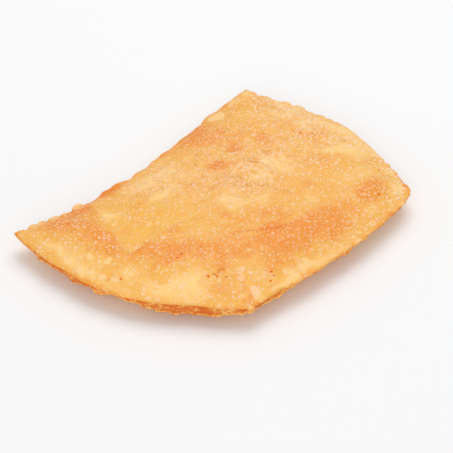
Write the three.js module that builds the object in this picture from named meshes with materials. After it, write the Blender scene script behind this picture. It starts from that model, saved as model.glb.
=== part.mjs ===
// A pastel: a fried turnover of thin dough, folded once over its filling and
// pressed shut along the three open sides. It is uncut, so it is one solid.
//
// Millimetres, +Z up. +X runs along the folded edge and +Y points to it. The
// pastel lies on its belly, and the origin is on the floor under its middle.

import * as THREE from "three";

// ---- Driving dimensions ----------------------------------------------------

// Plan of the crust: the corners and the ends of each side.
const FOLD_LEFT = [-100.5, 65];    // sharp corner at the left end of the fold
const LEFT_FOOT = [-94.5, -13.5];  // where the left side turns into the blunt corner
const FRONT_LEFT = [-52, -71];     // where the blunt corner meets the front edge
const FRONT_RIGHT = [69, -70];     // where the front edge starts to round off
const RIGHT_FOOT = [86.5, -58];    // where the right side starts
const FOLD_RIGHT = [90.5, 73.5];   // sharp corner at the right end of the fold

// Heights.
const RIM_HEIGHT = 12.5;           // top of the pressed edge above the floor
const DOME_RISE = 10.5;            // middle of the top sheet above the pressed edge
const DOME_SHOULDER = 22;          // distance in which the top sheet makes most of its rise
const BELLY_DROP = 12.5;           // how far the lower sheet would hang with no floor
const BELLY_SHOULDER = 18;         // distance in which the lower sheet makes most of its drop
const SEAM_FLATNESS = 1.25;        // above 1, both sheets leave the pressed edge more gently

// The edge of the dough.
const SEAM_THICKNESS = 3.5;        // the two sheets a little way in from the edge
const SEAM_WIDTH = 10;             // how far in the thickness of the edge is felt
const FOLD_THICKNESS = 9;          // the rounded fold at its middle
const FOLD_BULGE = 2.2;            // how far the fold rounds out past its top line
const SEAM_RECESS = 0.9;           // how far a thick wall falls back under the top sheet
const LIP_REACH = 0.9;             // how far the lower sheet's lip stands out there
const LIP_THICKNESS = 1.1;
const OPEN_THICKNESS = 5;          // a pressed edge this thick has its full recess and lip
const LOBE_PITCH = 7.5;            // one press mark to the next
const LOBE_DEPTH = 0.8;
const EDGE_WAVE = 0.2;             // slow waviness of the whole edge

// The sunken panel, where the top sheet clings to the edge of the filling.
const PANEL_LEFT = -74.5;          // its left crease, where it meets the lower one
const PANEL_LEAN = 0.25;           // how far that crease leans right per mm towards the fold
const PANEL_BEND = 0.0038;         // how much more it leans with every mm
const PANEL_BOTTOM = -1;           // its lower crease
const PANEL_RIGHT = 8;             // where it fades out
const PANEL_DEPTH = 1.1;

// Broad puffs of the top sheet: centre x, centre y, half width, half depth, rise.
const PUFFS = [
  [-78, 30, 10, 26, 1.4],
  [-60, -13, 16, 12, 1.5],
  [0, -47, 38, 14, 1.5],
  [61, -53, 14, 10, 2],
  [32, 53, 22, 11, 1.5],
  [72, 27, 19, 20, 1],
];

// Mesh density.
const RINGS_INSIDE = [0, 0.18, 0.35, 0.5, 0.63, 0.74, 0.83, 0.91, 0.97];
const RINGS_UNDER = [0.97, 0.9, 0.81, 0.68, 0.45, 0];

// ---- Outline ---------------------------------------------------------------

// One side of the plan: a curve, the number of steps along it, the thickness of
// the edge at its two ends and its middle, and whether it is pressed or folded.
function side(from, bendA, bendB, to, steps, thickness, pressed) {
  const [start, startBend, endBend, end] = [from, bendA, bendB, to].map(
    ([x, y]) => new THREE.Vector2(x, y),
  );
  const curve = new THREE.CubicBezierCurve(start, startBend, endBend, end);
  return { curve, steps, thickness, pressed };
}

const SIDES = [
  side(FOLD_LEFT, [-106, 39.5], [-100.5, 6.5], LEFT_FOOT, 38, [0.5, 2.6, 1.6], 1),
  side(LEFT_FOOT, [-88, -34.5], [-59, -66], FRONT_LEFT, 34, [1.6, 6.6, 3.2], 1),
  side(FRONT_LEFT, [-19.5, -75], [41, -76.5], FRONT_RIGHT, 58, [3.2, 1.6, 1.8], 1),
  side(FRONT_RIGHT, [81.5, -67.5], [84.5, -66], RIGHT_FOOT, 12, [1.8, 1.2, 1.5], 1),
  side(RIGHT_FOOT, [112.2, 6], [106.2, 6], FOLD_RIGHT, 64, [1.5, 3, 2], 1),
  side(FOLD_RIGHT, [31, 65.2], [-40.5, 43.7], FOLD_LEFT, 82, [2, FOLD_THICKNESS, 1.5], 0),
];

const smooth = THREE.MathUtils.smoothstep;

// Quadratic through the thickness at the start, the middle and the end.
function blendThree([start, middle, end], t) {
  return (
    start * (1 - t) * (1 - 2 * t) + middle * 4 * t * (1 - t) + end * t * (2 * t - 1)
  );
}

// Every station round the edge: where it is, which way is out, how thick the
// dough is there, and how far along the edge it lies.
function edgeStations() {
  const stations = [];
  let travelled = 0;
  for (const { curve, steps, thickness, pressed } of SIDES) {
    const length = curve.getLength();
    for (let k = 0; k < steps; k += 1) {
      const t = k / steps;
      const point = curve.getPointAt(t);
      const tangent = curve.getTangentAt(t);
      const nearEnd = Math.min(t, 1 - t) * length;
      stations.push({
        x: point.x,
        y: point.y,
        out: new THREE.Vector2(tangent.y, -tangent.x),
        step: length / steps,
        along: travelled + t * length,
        thickness: blendThree(thickness, t),
        fold: pressed ? 0 : smooth(nearEnd, 0, 25),
      });
    }
    travelled += length;
  }
  return stations;
}

const STATIONS = edgeStations();
const EDGE_LENGTH = STATIONS.reduce((sum, station) => sum + station.step, 0);

// Waves that close on themselves round the edge, given by how many fit in it.
function wave(along, count, phase) {
  return Math.sin((2 * Math.PI * count * along) / EDGE_LENGTH + phase);
}

function slowWave(along) {
  return EDGE_WAVE * (0.6 * wave(along, 23, 0.4) + 0.4 * wave(along, 37, 2.1));
}

function lobe(along) {
  const count = Math.round(EDGE_LENGTH / LOBE_PITCH);
  return LOBE_DEPTH * (0.7 * wave(along, count, 0) + 0.4 * wave(along, count - 19, 1.3));
}

// ---- Surface ---------------------------------------------------------------

// Smooth distance to the edge. Along a straight side it is the true distance,
// and in the corners and the middle it has no ridges.
function edgeDistance(x, y) {
  let sum = 0;
  for (const station of STATIONS) {
    const squared = (station.x - x) ** 2 + (station.y - y) ** 2;
    sum += station.step / Math.max(squared, 1e-6) ** 2;
  }
  return Math.cbrt(Math.PI / (2 * sum));
}

function rise(distance, height, shoulder) {
  return height * (1 - Math.exp(-((distance / shoulder) ** SEAM_FLATNESS)));
}

function panelDrop(x, y) {
  const up = Math.max(0, y - PANEL_BOTTOM);
  const leftCrease = PANEL_LEFT + PANEL_LEAN * up + PANEL_BEND * up ** 2;
  const pastLeft = smooth(x, leftCrease - 2, leftCrease + 2);
  const pastBottom = smooth(y, PANEL_BOTTOM - 2, PANEL_BOTTOM + 2);
  const beforeRight = 1 - smooth(x, PANEL_RIGHT - 45, PANEL_RIGHT);
  return PANEL_DEPTH * pastLeft * pastBottom * beforeRight;
}

function puffRise(x, y) {
  return PUFFS.reduce((sum, [cx, cy, halfWidth, halfDepth, height]) => {
    const squared = ((x - cx) / halfWidth) ** 2 + ((y - cy) / halfDepth) ** 2;
    return sum + height * Math.exp(-squared);
  }, 0);
}

function topPoint(station, reach) {
  const x = station.x * reach;
  const y = station.y * reach;
  const distance = edgeDistance(x, y);
  const relief = puffRise(x, y) - panelDrop(x, y);
  const nearEdge = rise(distance, 1, 8);
  return [x, y, RIM_HEIGHT + rise(distance, DOME_RISE, DOME_SHOULDER) + relief * nearEdge];
}

function bottomPoint(station, reach) {
  const x = station.x * reach;
  const y = station.y * reach;
  const distance = edgeDistance(x, y);
  const thickness = THREE.MathUtils.lerp(
    SEAM_THICKNESS,
    station.thickness,
    Math.exp(-distance / SEAM_WIDTH),
  );
  const drop = rise(distance, BELLY_DROP, BELLY_SHOULDER);
  return [x, y, Math.max(0, RIM_HEIGHT - thickness - drop)];
}

// A point of the wall, pushed out from the plan line and set below the rim.
function wallPoint(station, push, below) {
  return [
    station.x + station.out.x * push,
    station.y + station.out.y * push,
    RIM_HEIGHT - below,
  ];
}

// The wall from the top sheet's edge down to the lip. At the fold it rounds out
// instead, because there the dough runs round in one piece.
function wallPoints(station) {
  const { along, fold, thickness } = station;
  const wavy = slowWave(along);
  const open = (1 - fold) * Math.min(1, thickness / OPEN_THICKNESS);
  const lip = open * (LIP_REACH + lobe(along));
  const lipThickness = Math.min(LIP_THICKNESS, 0.45 * thickness);
  return [
    wallPoint(station, wavy, 0),
    wallPoint(station, wavy + fold * FOLD_BULGE - open * SEAM_RECESS, thickness * 0.45),
    wallPoint(station, wavy + fold * FOLD_BULGE + lip, thickness - lipThickness),
    wallPoint(station, wavy + lip * 0.8, thickness),
  ];
}

// All points of one meridian, from the middle of the top to the middle of the belly.
function meridian(station) {
  return [
    ...RINGS_INSIDE.map((reach) => topPoint(station, reach)),
    ...wallPoints(station),
    ...RINGS_UNDER.map((reach) => bottomPoint(station, reach)),
  ];
}

// ---- Crust -----------------------------------------------------------------

// A sphere has the right skin: its poles become the middles of the top and the
// belly, and each of its meridians becomes one station of the edge.
function crustGeometry() {
  const meridians = STATIONS.map(meridian);
  const rings = meridians[0].length;
  const geometry = new THREE.SphereGeometry(1, STATIONS.length, rings - 1);
  const position = geometry.getAttribute("position");
  for (let ring = 0; ring < rings; ring += 1) {
    for (let column = 0; column <= STATIONS.length; column += 1) {
      const [x, y, z] = meridians[column % STATIONS.length][ring];
      position.setXYZ(ring * (STATIONS.length + 1) + column, x, y, z);
    }
  }
  geometry.computeBoundingBox();
  const middle = geometry.boundingBox.getCenter(new THREE.Vector3());
  geometry.translate(-middle.x, -middle.y, -geometry.boundingBox.min.z);
  geometry.computeVertexNormals();
  return geometry;
}

function friedDough() {
  return new THREE.MeshStandardMaterial({ color: 0xe9ad62, roughness: 0.55, metalness: 0 });
}

const crust = new THREE.Mesh(crustGeometry(), friedDough());
crust.name = "pastel";

const pastel = new THREE.Group();
pastel.add(crust);

export default pastel;
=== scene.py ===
"""A pastel: a fried turnover of thin dough, puffed, blistered and unevenly browned.

The crust is one closed mesh. Its top and its underside are sheets over the same plan,
and a wall joins them: pressed shut on three sides, rounded over at the fold. Lengths
are millimetres of the plan until the very end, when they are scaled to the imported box.
"""

import math
from functools import partialmethod

import bpy
import numpy as np
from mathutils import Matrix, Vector
from mathutils.geometry import delaunay_2d_cdt


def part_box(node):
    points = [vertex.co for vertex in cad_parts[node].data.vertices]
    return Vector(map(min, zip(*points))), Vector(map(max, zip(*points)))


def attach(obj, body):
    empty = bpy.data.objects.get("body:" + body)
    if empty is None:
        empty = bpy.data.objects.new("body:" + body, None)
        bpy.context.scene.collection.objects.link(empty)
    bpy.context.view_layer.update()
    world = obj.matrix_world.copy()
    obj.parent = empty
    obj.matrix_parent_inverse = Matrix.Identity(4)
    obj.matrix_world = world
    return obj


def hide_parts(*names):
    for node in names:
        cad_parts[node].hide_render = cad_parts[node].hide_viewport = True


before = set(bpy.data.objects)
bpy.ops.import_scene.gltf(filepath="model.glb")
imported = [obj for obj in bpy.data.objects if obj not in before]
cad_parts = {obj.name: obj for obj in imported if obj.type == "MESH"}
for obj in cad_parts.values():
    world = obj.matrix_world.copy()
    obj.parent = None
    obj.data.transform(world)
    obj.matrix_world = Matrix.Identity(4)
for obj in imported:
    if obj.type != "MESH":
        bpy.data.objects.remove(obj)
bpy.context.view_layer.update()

# ---- Driving dimensions, as in the solid ----

PLAN_LENGTH = 208.4    # the plan's length along the fold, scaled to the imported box

# Plan of the crust: the corners and the ends of each side.
FOLD_LEFT = (-100.5, 65)
LEFT_FOOT = (-94.5, -13.5)
FRONT_LEFT = (-52, -71)
FRONT_RIGHT = (69, -70)
RIGHT_FOOT = (86.5, -58)
FOLD_RIGHT = (90.5, 73.5)

# Start, two bends and end of each side, then at its start, middle and end how thick the
# edge is and how far the pressed sheets gape (the fold doesn't).
SIDES = [
    (FOLD_LEFT, (-106, 39.5), (-100.5, 6.5), LEFT_FOOT, (0.5, 2.6, 1.6), (0, 0.4, 0.2)),
    (LEFT_FOOT, (-88, -34.5), (-59, -66), FRONT_LEFT, (1.6, 6.2, 3.2), (0.2, 1, 0.8)),
    (FRONT_LEFT, (-19.5, -75), (41, -76.5), FRONT_RIGHT, (3.2, 1.6, 1.8), (0.8, 0.2, 0.15)),
    (FRONT_RIGHT, (81.5, -67.5), (84.5, -66), RIGHT_FOOT, (1.8, 1.2, 1.5), (0.15, 0.1, 0.1)),
    (RIGHT_FOOT, (112.2, 6), (106.2, 6), FOLD_RIGHT, (1.5, 3, 2), (0.1, 0.2, 0.1)),
    (FOLD_RIGHT, (31, 65.2), (-40.5, 43.7), FOLD_LEFT, (2, 9, 1.5), None),
]

RIM_HEIGHT = 12.5      # top of the pressed edge above the floor
DOME_RISE = 10.5       # middle of the top sheet above the pressed edge
DOME_SHOULDER = 22     # distance in which it makes most of that rise
BELLY_DROP = 12.5      # how far the lower sheet would hang with no floor
BELLY_SHOULDER = 18    # the same for that drop
SEAM_FLATNESS = 1.25   # above 1, both sheets leave the edge more gently
SEAM_THICKNESS = 3.5   # the two sheets a little way in from the edge
SEAM_WIDTH = 10        # how far in the thickness of the edge is felt
SEAM_RECESS = 0.9      # how far a gaping wall falls back
LIP_REACH = 0.9        # how far the lower sheet's lip stands out there
LIP_THICKNESS = 1.1
LOBE_DEPTH = 0.8       # how far the lip's reach varies
EDGE_WAVE = 0.2        # slow waviness of the whole edge
FOLD_BULGE = 2.2       # how far the fold rounds out past its top line
FOLD_ENDS = 25         # distance from its ends in which it becomes round

PANEL_LEFT = -74.5     # the sunken panel's left crease, where it meets the lower one
PANEL_LEAN = 0.25      # how far it leans right per mm towards the fold
PANEL_BEND = 0.0038    # how much more with every mm
PANEL_BOTTOM = -1      # its lower crease
PANEL_RIGHT = 8        # where it fades out
PANEL_DEPTH = 1.1

# Broad puffs of the top sheet: centre, half width, half depth, rise.
PUFFS = [
    (-78, 30, 10, 26, 1.4), (-60, -13, 16, 12, 1.5), (0, -47, 38, 14, 1.5),
    (61, -53, 14, 10, 2), (32, 53, 22, 11, 1.5), (72, 27, 19, 20, 1),
]

# ---- Skin ----

EDGE_STEP = 0.8        # one station of the edge to the next
EDGE_ROLL = 0.4        # how far the top sheet rolls down at its edge
ROLL_WIDTH = 0.7       # how far in that is felt
RELIEF_SHOULDER = 8    # distance from the edge in which puffs and folds come in
RIM_BROWN_WIDTH = 0.8  # how far in the very edge's browning reaches
BUBBLE_WIDTH = 2.4     # how far in a bubble of the rim is felt
BUBBLE_RISE = 0.5      # how high it stands, as a share of how far it reaches out
SKIN_PITCH = 1.75      # mesh points of the plain skin
SKIN_MARGIN = 2.3      # how far in from the edge they begin
CREASE_STEP = 0.8      # mesh points along a crease
CREASE_ROWS = (-1.1, -0.45, 0.45, 1.1)  # how far to its sides they lie
PANEL_CREASE = 48      # how far the panel's two creases have them
FLOOR_GAP = 0.35       # how far the skin of the belly stands on its blisters
BELLY_PRESS = 1.2      # how gradually the belly flattens on to the floor
PLAN_X, PLAN_Y = 108, 78  # half the box that holds the plan

# Patches are listed from left to right.
# Browned ones: centre, half length, half width, strength, and any turn in degrees.
TOASTED = [
    (-101, 64, 4, 3, 0.9, 30), (-85, 18, 4, 5, 0.3), (-81, 48, 11, 14, 0.7, -8), (-79, 54, 10, 7, 0.25),
    (-75, 16, 7, 14, 0.8, -12), (-73, 35, 9, 10, 0.4, -10), (-66, -6, 9, 5, 0.1), (-63, 54, 9, 9, 0.95),
    (-62, -21, 5, 4, 0.3), (-62, 45, 6, 6, 0.2), (-61, -11, 15, 10.5, 0.75, -38),
    (-55, -51, 7, 5, 0.5, -10), (-55, -18, 6, 5, 0.15), (-53, -65, 9, 7, 0.25, -30), (-51, -70, 4, 3, 0.3),
    (-48, -42, 6, 4, 0.45), (-45, -20, 9, 6, 0.3, -30), (-44, -29, 12, 9, 0.55, -35), (-44, -4, 4, 3, 0.35),
    (-42, 29, 5, 4, 0.5), (-38, 55.5, 9, 5.5, 1.4, 3), (-36, -42, 8, 5, 0.4), (-31, -35, 12, 8, 0.35, -15),
    (-29, -4, 5, 3, 0.3), (-28, -62, 5, 4, 0.15), (-28, -47, 5, 3, 0.3), (-15, -58, 13, 7, 0.5),
    (-14, -14, 4, 5, 0.55), (-12, -25, 16, 7, 0.3, -5), (-10, 19, 6, 5, 0.25), (-8, -46, 20, 10, 0.8, -14),
    (-3, 8, 6, 3, 0.4), (-2, -43, 9, 4, 0.4, -20), (0, -31, 10, 4, 0.2), (5, -58, 14, 7, 0.35),
    (6, -29, 7, 5, 0.35), (8, 57, 6, 5, 0.3), (9, -4, 4, 5, 0.25), (10, -55, 6, 4, 0.2),
    (10, -36, 6, 5, 0.5), (12, -48, 7, 5, 0.4), (13, 20.5, 4.5, 6, 1.2), (16, 53, 8, 6, 0.35),
    (20, 16, 6, 4, 0.4), (22, -65, 11, 4, 0.5), (25, 51, 6, 7, 0.35), (27, -55, 16, 9.5, 0.8, -3),
    (34, 28, 5.5, 5.5, 0.95), (34, 46, 12, 10, 0.7), (34, 60, 14, 7, 0.95, 4), (38, -27, 6, 6, 0.35),
    (43, -45, 5, 5, 0.1), (43, 49, 6, 5, 0.25), (44, 33, 5, 4, 0.5), (52, 20, 6, 8, 0.8),
    (55, 38, 9, 6, 0.15), (56, -71, 4, 2.5, 0.8), (57, -50, 4, 4, 0.3), (58, -61, 5, 3, 0.3),
    (60, -18, 8, 7, 0.35), (60, 60, 12, 5, 0.15, 5), (61, -53, 10, 8, 0.8), (67, 66, 5, 4, 0.4),
    (70, -51, 7, 7, 0.2), (70, 58, 12, 5, 0.15, 5), (72, 25, 5, 5, 0.2), (75, 4, 7, 7, 0.3),
    (81, 50, 7, 4, 0.25), (84, -61.5, 5, 2, 1.1, 52), (84, 3, 7, 5, 0.2), (86, 58, 7, 8, 0.3),
    (89, 73, 2, 2, 0.3),
]

# Pale ones, where the dough stood clear of the fat.
PALE = [
    (-97, 32, 3, 28, 0.35, 3), (-94, 12, 4, 36, 0.5, 3), (-88, 18, 6, 20, 0.4, 5), (-82, -10, 6, 8, 0.65),
    (-79, -27, 10, 5, 0.6, -55), (-68, -36, 13, 8, 0.95, -32), (-66, -48, 5, 4, 0.5), (-60, -33, 6, 4, 0.3),
    (-58, 34, 5, 9, 0.8), (-46, -65, 5, 4, 0.4, 80), (-40, -53, 6, 7, 0.3), (-33, -59, 7, 5, 0.4),
    (-33, -14, 8, 5, 0.3), (-32, -0.5, 15, 1.5, 0.5), (-28, 25, 9, 6, 0.6), (-22, 42, 14, 9, 0.45),
    (-15, -70, 14, 2.5, 0.4), (-15, 24, 8, 5, 0.5), (-12, -68.5, 32, 3, 0.6), (-8, 38, 10, 10, 0.45),
    (-3, -9, 7, 10, 0.75), (0, 54, 8, 4, 0.3), (2, 25, 6, 6, 0.4), (9, -17, 7, 5, 0.6),
    (10, -72, 18, 2.5, 0.4), (11, 42, 5, 4, 0.4), (19, -2, 5, 5, 0.5), (24, 12, 7, 5, 0.3),
    (30, -38, 6, 4, 0.5), (30, -3, 10, 6, 0.6), (39, -2, 7, 10, 0.7), (40, -13, 4, 4, 0.3),
    (47, -42, 5, 5, 0.3), (54, -65, 16, 4, 0.45), (54, 63.5, 7.5, 6, 0.4, 8), (55, -35, 8, 6, 0.3),
    (56, -8, 4, 4, 0.3), (62, 2, 9, 8, 0.35), (62, 28, 5, 8, 0.4), (65, -12, 7, 6, 0.3),
    (65, 45, 7, 5, 0.5), (70, -40, 13, 7, 0.5), (70, 65, 11, 4, 0.5, 5), (72, -66, 7, 4, 0.5),
    (74, 36, 7, 7, 0.5), (74, 67, 6, 3, 0.2), (76, -30, 6, 5, 0.35), (78, -15, 10, 7, 1),
    (79, -62, 8, 4, 0.7, 10), (83, -42, 6, 7, 0.15), (83, -25, 8, 6, 0.5), (84, 16, 11, 9, 0.75),
    (84, 31, 5, 7, 0.4), (85, -55, 9, 6, 0.6, 40), (85, 0, 9, 9, 0.5), (85, 36, 10, 8, 0.5),
    (86, 66, 5, 5, 0.7), (88, -47, 4, 8, 0.75, 15), (88, -9, 5, 4, 0.3), (90, -20, 8, 8, 0.5),
    (93, -33, 4, 7, 0.6), (93, 45, 6, 14, 0.7, 10), (97, -2, 7, 30, 0.85),
]

# More yellow dough.
YELLOWED = [
    (-92, 5, 8, 30, 0.5), (-75, -30, 20, 22, 0.5, -30), (-45, 6, 28, 6, 0.6), (-45, 25, 30, 24, 0.8),
    # The patch at (68, 62), towards the fold's right end, is painted light: it lightens a slope that the
    # lamps leave in shade.
    (-38, -67, 24, 6, 0.7), (68, 62, 14, 7, 0.7, 5),
]

# Crumpled skin, and smoother skin within it.
CRUMPLED = [
    (-25, 22, 14, 12, 0.3), (-18, 40, 20, 12, 0.6), (14, 21, 8, 7, -0.6), (20, 8, 34, 26, 0.8),
    (31, 28, 10, 8, -0.35), (35, 40, 16, 14, 0.3), (72, 12, 20, 22, 0.4), (86, 33, 14, 18, 0.5),
]

# Crowded small blisters.
DOTTED = [
    (-78, 14, 6, 10, 0.3), (-76, 46, 14, 12, 0.55), (-74, 20, 6, 12, 0.35), (-38, -58, 9, 10, 0.3),
    (5, 30, 14, 12, 0.15), (20, 38, 18, 10, 0.25), (30, 55, 20, 9, 0.2), (45, 33, 16, 12, 0.25),
    (48, -68, 24, 3, 0.3), (55, 3, 12, 8, 0.3), (57, -20, 9, 11, 0.6), (60, -54, 12, 9, 0.4),
    (62, 20, 12, 16, 0.35), (62, 60, 12, 8, 0.4), (70, -30, 10, 10, 0.3), (74, 45, 14, 12, 0.5),
    (75, 0, 13, 9, 0.5, -40), (76, -62, 14, 4, 0.9, 10), (83, -30, 8, 10, 0.3), (84, -48, 7, 9, 0.8, 20),
    (84, 10, 10, 16, 0.3), (84, 58, 9, 10, 0.5), (88, -9, 6, 6, 0.5), (92, -20, 5, 26, 0.7, -8),
    (92, 25, 6, 30, 0.5),
]

# Creases: a line of points, how deep, how browned, how much ochre painted shade lies in it.
CREASES = [
    ([(-23, -28.5), (-17, -32.5), (-10, -37.5), (-3, -41.5), (4.5, -45), (11, -46)], 0.1, 0.9, 0),
    ([(5.5, 7), (7.5, 3.5), (8.5, -1.5), (14, -8), (20, -13), (22, -20), (25, -27)], 0.15, 0.15, 0.5),
    ([(31, 8), (33, 0), (30, -7)], 0.2, 0.1, 0.6),
    ([(-43, -49), (-45.5, -60), (-48, -67), (-49.5, -71)], 0.1, 0.35, 0),
    ([(-74, 1), (-71, -2), (-66.5, -1.8), (-62, -0.8), (-55, -0.8), (-48, -2.5), (-42, -9.5)], 0, 0.45, 0),
]
DEPTH, BROWNING, OCHRE = 1, 2, 3  # which value of a crease is which

# How browned the very edge is: where along it from the left end of the fold, and how much.
RIM_BROWNED = [
    (0, 0.8), (10, 0.5), (78, 0.6), (90, 0.4), (150, 0.4), (200, 0.35), (285, 0.6), (300, 0.9),
    (330, 0.7), (345, 0.3), (425, 0.3), (440, 0.75), (625, 0.8),
]

# How browned the wall under it is.
WALL_BROWNED = [
    (0, 0.2), (35, 0.3), (42, 0.8), (60, 0.8), (66, 0.2), (95, 0.2), (112, 0.5), (126, 0.5),
    (134, -0.1), (150, 0), (154, 0.2), (175, 0.1), (190, 0), (300, 0.3), (625, 0),
]

# Bubbles on the rim: where along it, half width, reach.
RIM_BLISTERS = [
    (233, 2.6, 1), (241, 1.8, 0.7), (315, 2, 0.8), (321, 1.4, 0.5), (358.5, 1.9, 0.3), (362.3, 1.9, 0.35),
    (366, 1.6, 0.6), (370.8, 1.9, 0.35), (378, 2.7, 0.75), (393.6, 4, 1.4), (402.6, 3.6, 1.2),
    (416, 2.6, 0.35), (425, 3, 0.4), (584.3, 3.7, 2.4), (594, 2.2, 0.8), (600.5, 3.8, 1.3),
    (608.3, 2.9, 1.6), (613.8, 3, 1.8), (621.5, 2.8, 0.7),
]

# Broad bulges and dips of the edge.
EDGE_BULGES = [
    (18, 7, -0.5), (57, 5, 0.9), (68, 8, 0.9), (119, 12, -1.2), (169, 11, -1.5), (320, 3, -0.5),
    (332, 9, -0.35), (380.5, 2.5, -1), (386.5, 2.5, -0.5), (409.5, 3.5, -1.1), (421, 3, -2.1),
    (468.5, 5.5, 1.2), (477.5, 2, -0.8), (482, 3, 0.4), (496.5, 3, 0.5), (515, 4, 0.8), (524, 3, 0.5),
    (531, 3, -0.4), (538, 3, 0.4), (544.5, 3, -0.9), (555, 5.5, 2.1), (564, 4, 2.1), (574.5, 4, -0.8),
]

# Lobes of the lower sheet, where the edge is thicker or thinner.
EDGE_LOBES = [
    (25, 3, 1), (49, 5, 2.5), (62.5, 2.5, -0.6), (68.5, 4, 1.6), (89, 5, -0.9), (168, 10, 0.8),
    (190, 7, -0.6), (222, 5, 0.8),
]

# Flakes of the lower sheet's lip.
LIP_FLAKES = [
    (24.5, 2, 0.8), (67.5, 3.5, 0.9), (94, 2, 0.5), (160, 2, 0.8), (165.5, 2, 1), (171, 2.5, 1.2),
    (180, 3, 0.6), (222.5, 1.5, 1), (238.5, 1.4, 1),
]

# The crimped stretch of the edge, and how many random bubbles it has.
CRIMPED = (150, 310)
RANDOM_BUBBLES = 50


def bezier(a, b, c, d, t):
    """Points of a cubic curve."""
    t = np.asarray(t)[:, None]
    a, b, c, d = (np.array(p) for p in (a, b, c, d))
    return a * (1 - t) ** 3 + 3 * b * t * (1 - t) ** 2 + 3 * c * t**2 * (1 - t) + d * t**3


def smooth(value, low, high):
    """0 below low, 1 above high, and a smooth step between them."""
    t = np.clip((value - low) / (high - low), 0, 1)
    return t * t * (3 - 2 * t)


def noise(x, y, cell, seed):
    """A smooth random field from -1 to 1, with features of about one cell."""
    size = 128
    table = np.random.default_rng(seed).uniform(-1, 1, (size, size))
    u, v = x / cell + 500, y / cell + 500
    i, j = np.floor(u).astype(int), np.floor(v).astype(int)
    fu, fv = smooth(u - i, 0, 1), smooth(v - j, 0, 1)
    i, j, i1, j1 = i % size, j % size, (i + 1) % size, (j + 1) % size
    low = table[i, j] * (1 - fu) + table[i1, j] * fu
    high = table[i, j1] * (1 - fu) + table[i1, j1] * fu
    return low * (1 - fv) + high * fv


# ---- Edge ----


def through(values, t):
    """The curve through a start, a middle and an end value."""
    start, middle, end = values
    return start * (1 - t) * (1 - 2 * t) + middle * 4 * t * (1 - t) + end * t * (2 * t - 1)


def lengths_along(line):
    """How far along a line of points each of them lies."""
    return np.append(0, np.cumsum(np.hypot(*np.diff(line, axis=0).T)))


def points_along(line, at):
    """The points at given lengths along a line of points: x and y."""
    length = lengths_along(line)
    return np.array([np.interp(at, length, line[:, k]) for k in (0, 1)])


def side_stations(side, travelled):
    """Even stations of one side: x, y, out x, out y, step, along, thickness, gape and fold."""
    *points, thickness, gape = side
    line = bezier(*points, np.linspace(0, 1, 600))
    length = lengths_along(line)[-1]
    count = round(length / EDGE_STEP)
    t = np.arange(count) / count
    at = t * length
    x, y = points_along(line, at)
    ahead = points_along(line, at + 0.2) - (x, y)
    ahead_x, ahead_y = ahead / np.hypot(*ahead)
    fold = smooth(np.minimum(at, length - at), 0, FOLD_ENDS) * (gape is None)
    place = [x, y, ahead_y, -ahead_x, np.full(count, length / count), travelled + at]
    shape = [through(thickness, t), through(gape or (0, 0, 0), t), fold]
    return np.stack(place + shape, 1), travelled + length


def edge_stations():
    """All stations round the edge, counter-clockwise from the left end of the fold."""
    travelled, parts = 0, []
    for side in SIDES:
        rows, travelled = side_stations(side, travelled)
        parts.append(rows)
    return np.concatenate(parts).T, travelled


STATIONS, EDGE_LENGTH = edge_stations()
EDGE_X, EDGE_Y, OUT_X, OUT_Y, STEP, ALONG, EVEN_THICKNESS, GAPE, FOLD = STATIONS
EDGE_BROWNED = np.interp(ALONG, *zip(*RIM_BROWNED))


def bumps(table):
    """The sum of a table of smooth bumps along the edge."""
    total = np.zeros_like(ALONG)
    for centre, half_width, reach in table:
        total += reach * np.exp(-(((ALONG - centre) / half_width) ** 2))
    return total


def edge_noise(cell, seed):
    """Noise along the edge."""
    return noise(ALONG, 0 * ALONG, cell, seed)


def rim_bubbles():
    """How far bubbles on the rim stand out: named ones and random ones."""
    rng = np.random.default_rng(9)
    spans = CRIMPED, (1, 2.8), (0.2, 0.8)
    scattered = [[rng.uniform(*span) for span in spans] for _ in range(RANDOM_BUBBLES)]
    reach = np.zeros_like(ALONG)
    for centre, half_width, height in RIM_BLISTERS + scattered:
        u = (ALONG - centre) / half_width
        reach = np.maximum(reach, height * np.sqrt(np.clip(1 - u * u, 0, 1)))
    return reach


def edge_bulges():
    """How far the edge stands out: a slow wave and a few broad bulges."""
    round_once = 2 * np.pi * ALONG / EDGE_LENGTH
    wave = 0.6 * np.sin(23 * round_once + 0.4) + 0.4 * np.sin(37 * round_once + 2.1)
    return EDGE_WAVE * wave + 0.25 * edge_noise(2.4, 38) * GAPE + bumps(EDGE_BULGES)


THICKNESS = EVEN_THICKNESS + bumps(EDGE_LOBES)
EDGE_OUT = edge_bulges()
RIM_BUBBLES = rim_bubbles()


def in_blocks(function, x, y, block=4000):
    """Runs a function of points against the whole edge, a block at a time."""
    spans = [slice(k, k + block) for k in range(0, len(x), block)]
    return np.concatenate([function(x[s, None], y[s, None]) for s in spans])


def near_edge(x, y):
    """Columns: smooth distance to the edge, and the edge's thickness, bubbles and browning.

    The distance is true along a straight side, and has no ridges further in.
    """

    def weigh(px, py):
        squared = np.maximum((EDGE_X - px) ** 2 + (EDGE_Y - py) ** 2, 1e-6)
        weight = STEP / squared**2
        total = np.sum(weight, axis=1)
        distance = np.cbrt(np.pi / 2 / total)
        nearby = [weight @ value / total for value in (THICKNESS, RIM_BUBBLES, EDGE_BROWNED)]
        return np.stack([distance, *nearby], 1)

    return in_blocks(weigh, x, y)


def inside(x, y, loop_x, loop_y):
    """Whether each point is inside a closed loop."""
    next_x, next_y = np.roll(loop_x, -1), np.roll(loop_y, -1)

    def odd_crossings(px, py):
        spans = (loop_y > py) != (next_y > py)
        with np.errstate(divide="ignore", invalid="ignore"):
            cut = loop_x + (py - loop_y) / (next_y - loop_y) * (next_x - loop_x)
        return np.sum(spans & (px < cut), axis=1) % 2 == 1

    return in_blocks(odd_crossings, x, y)


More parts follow.
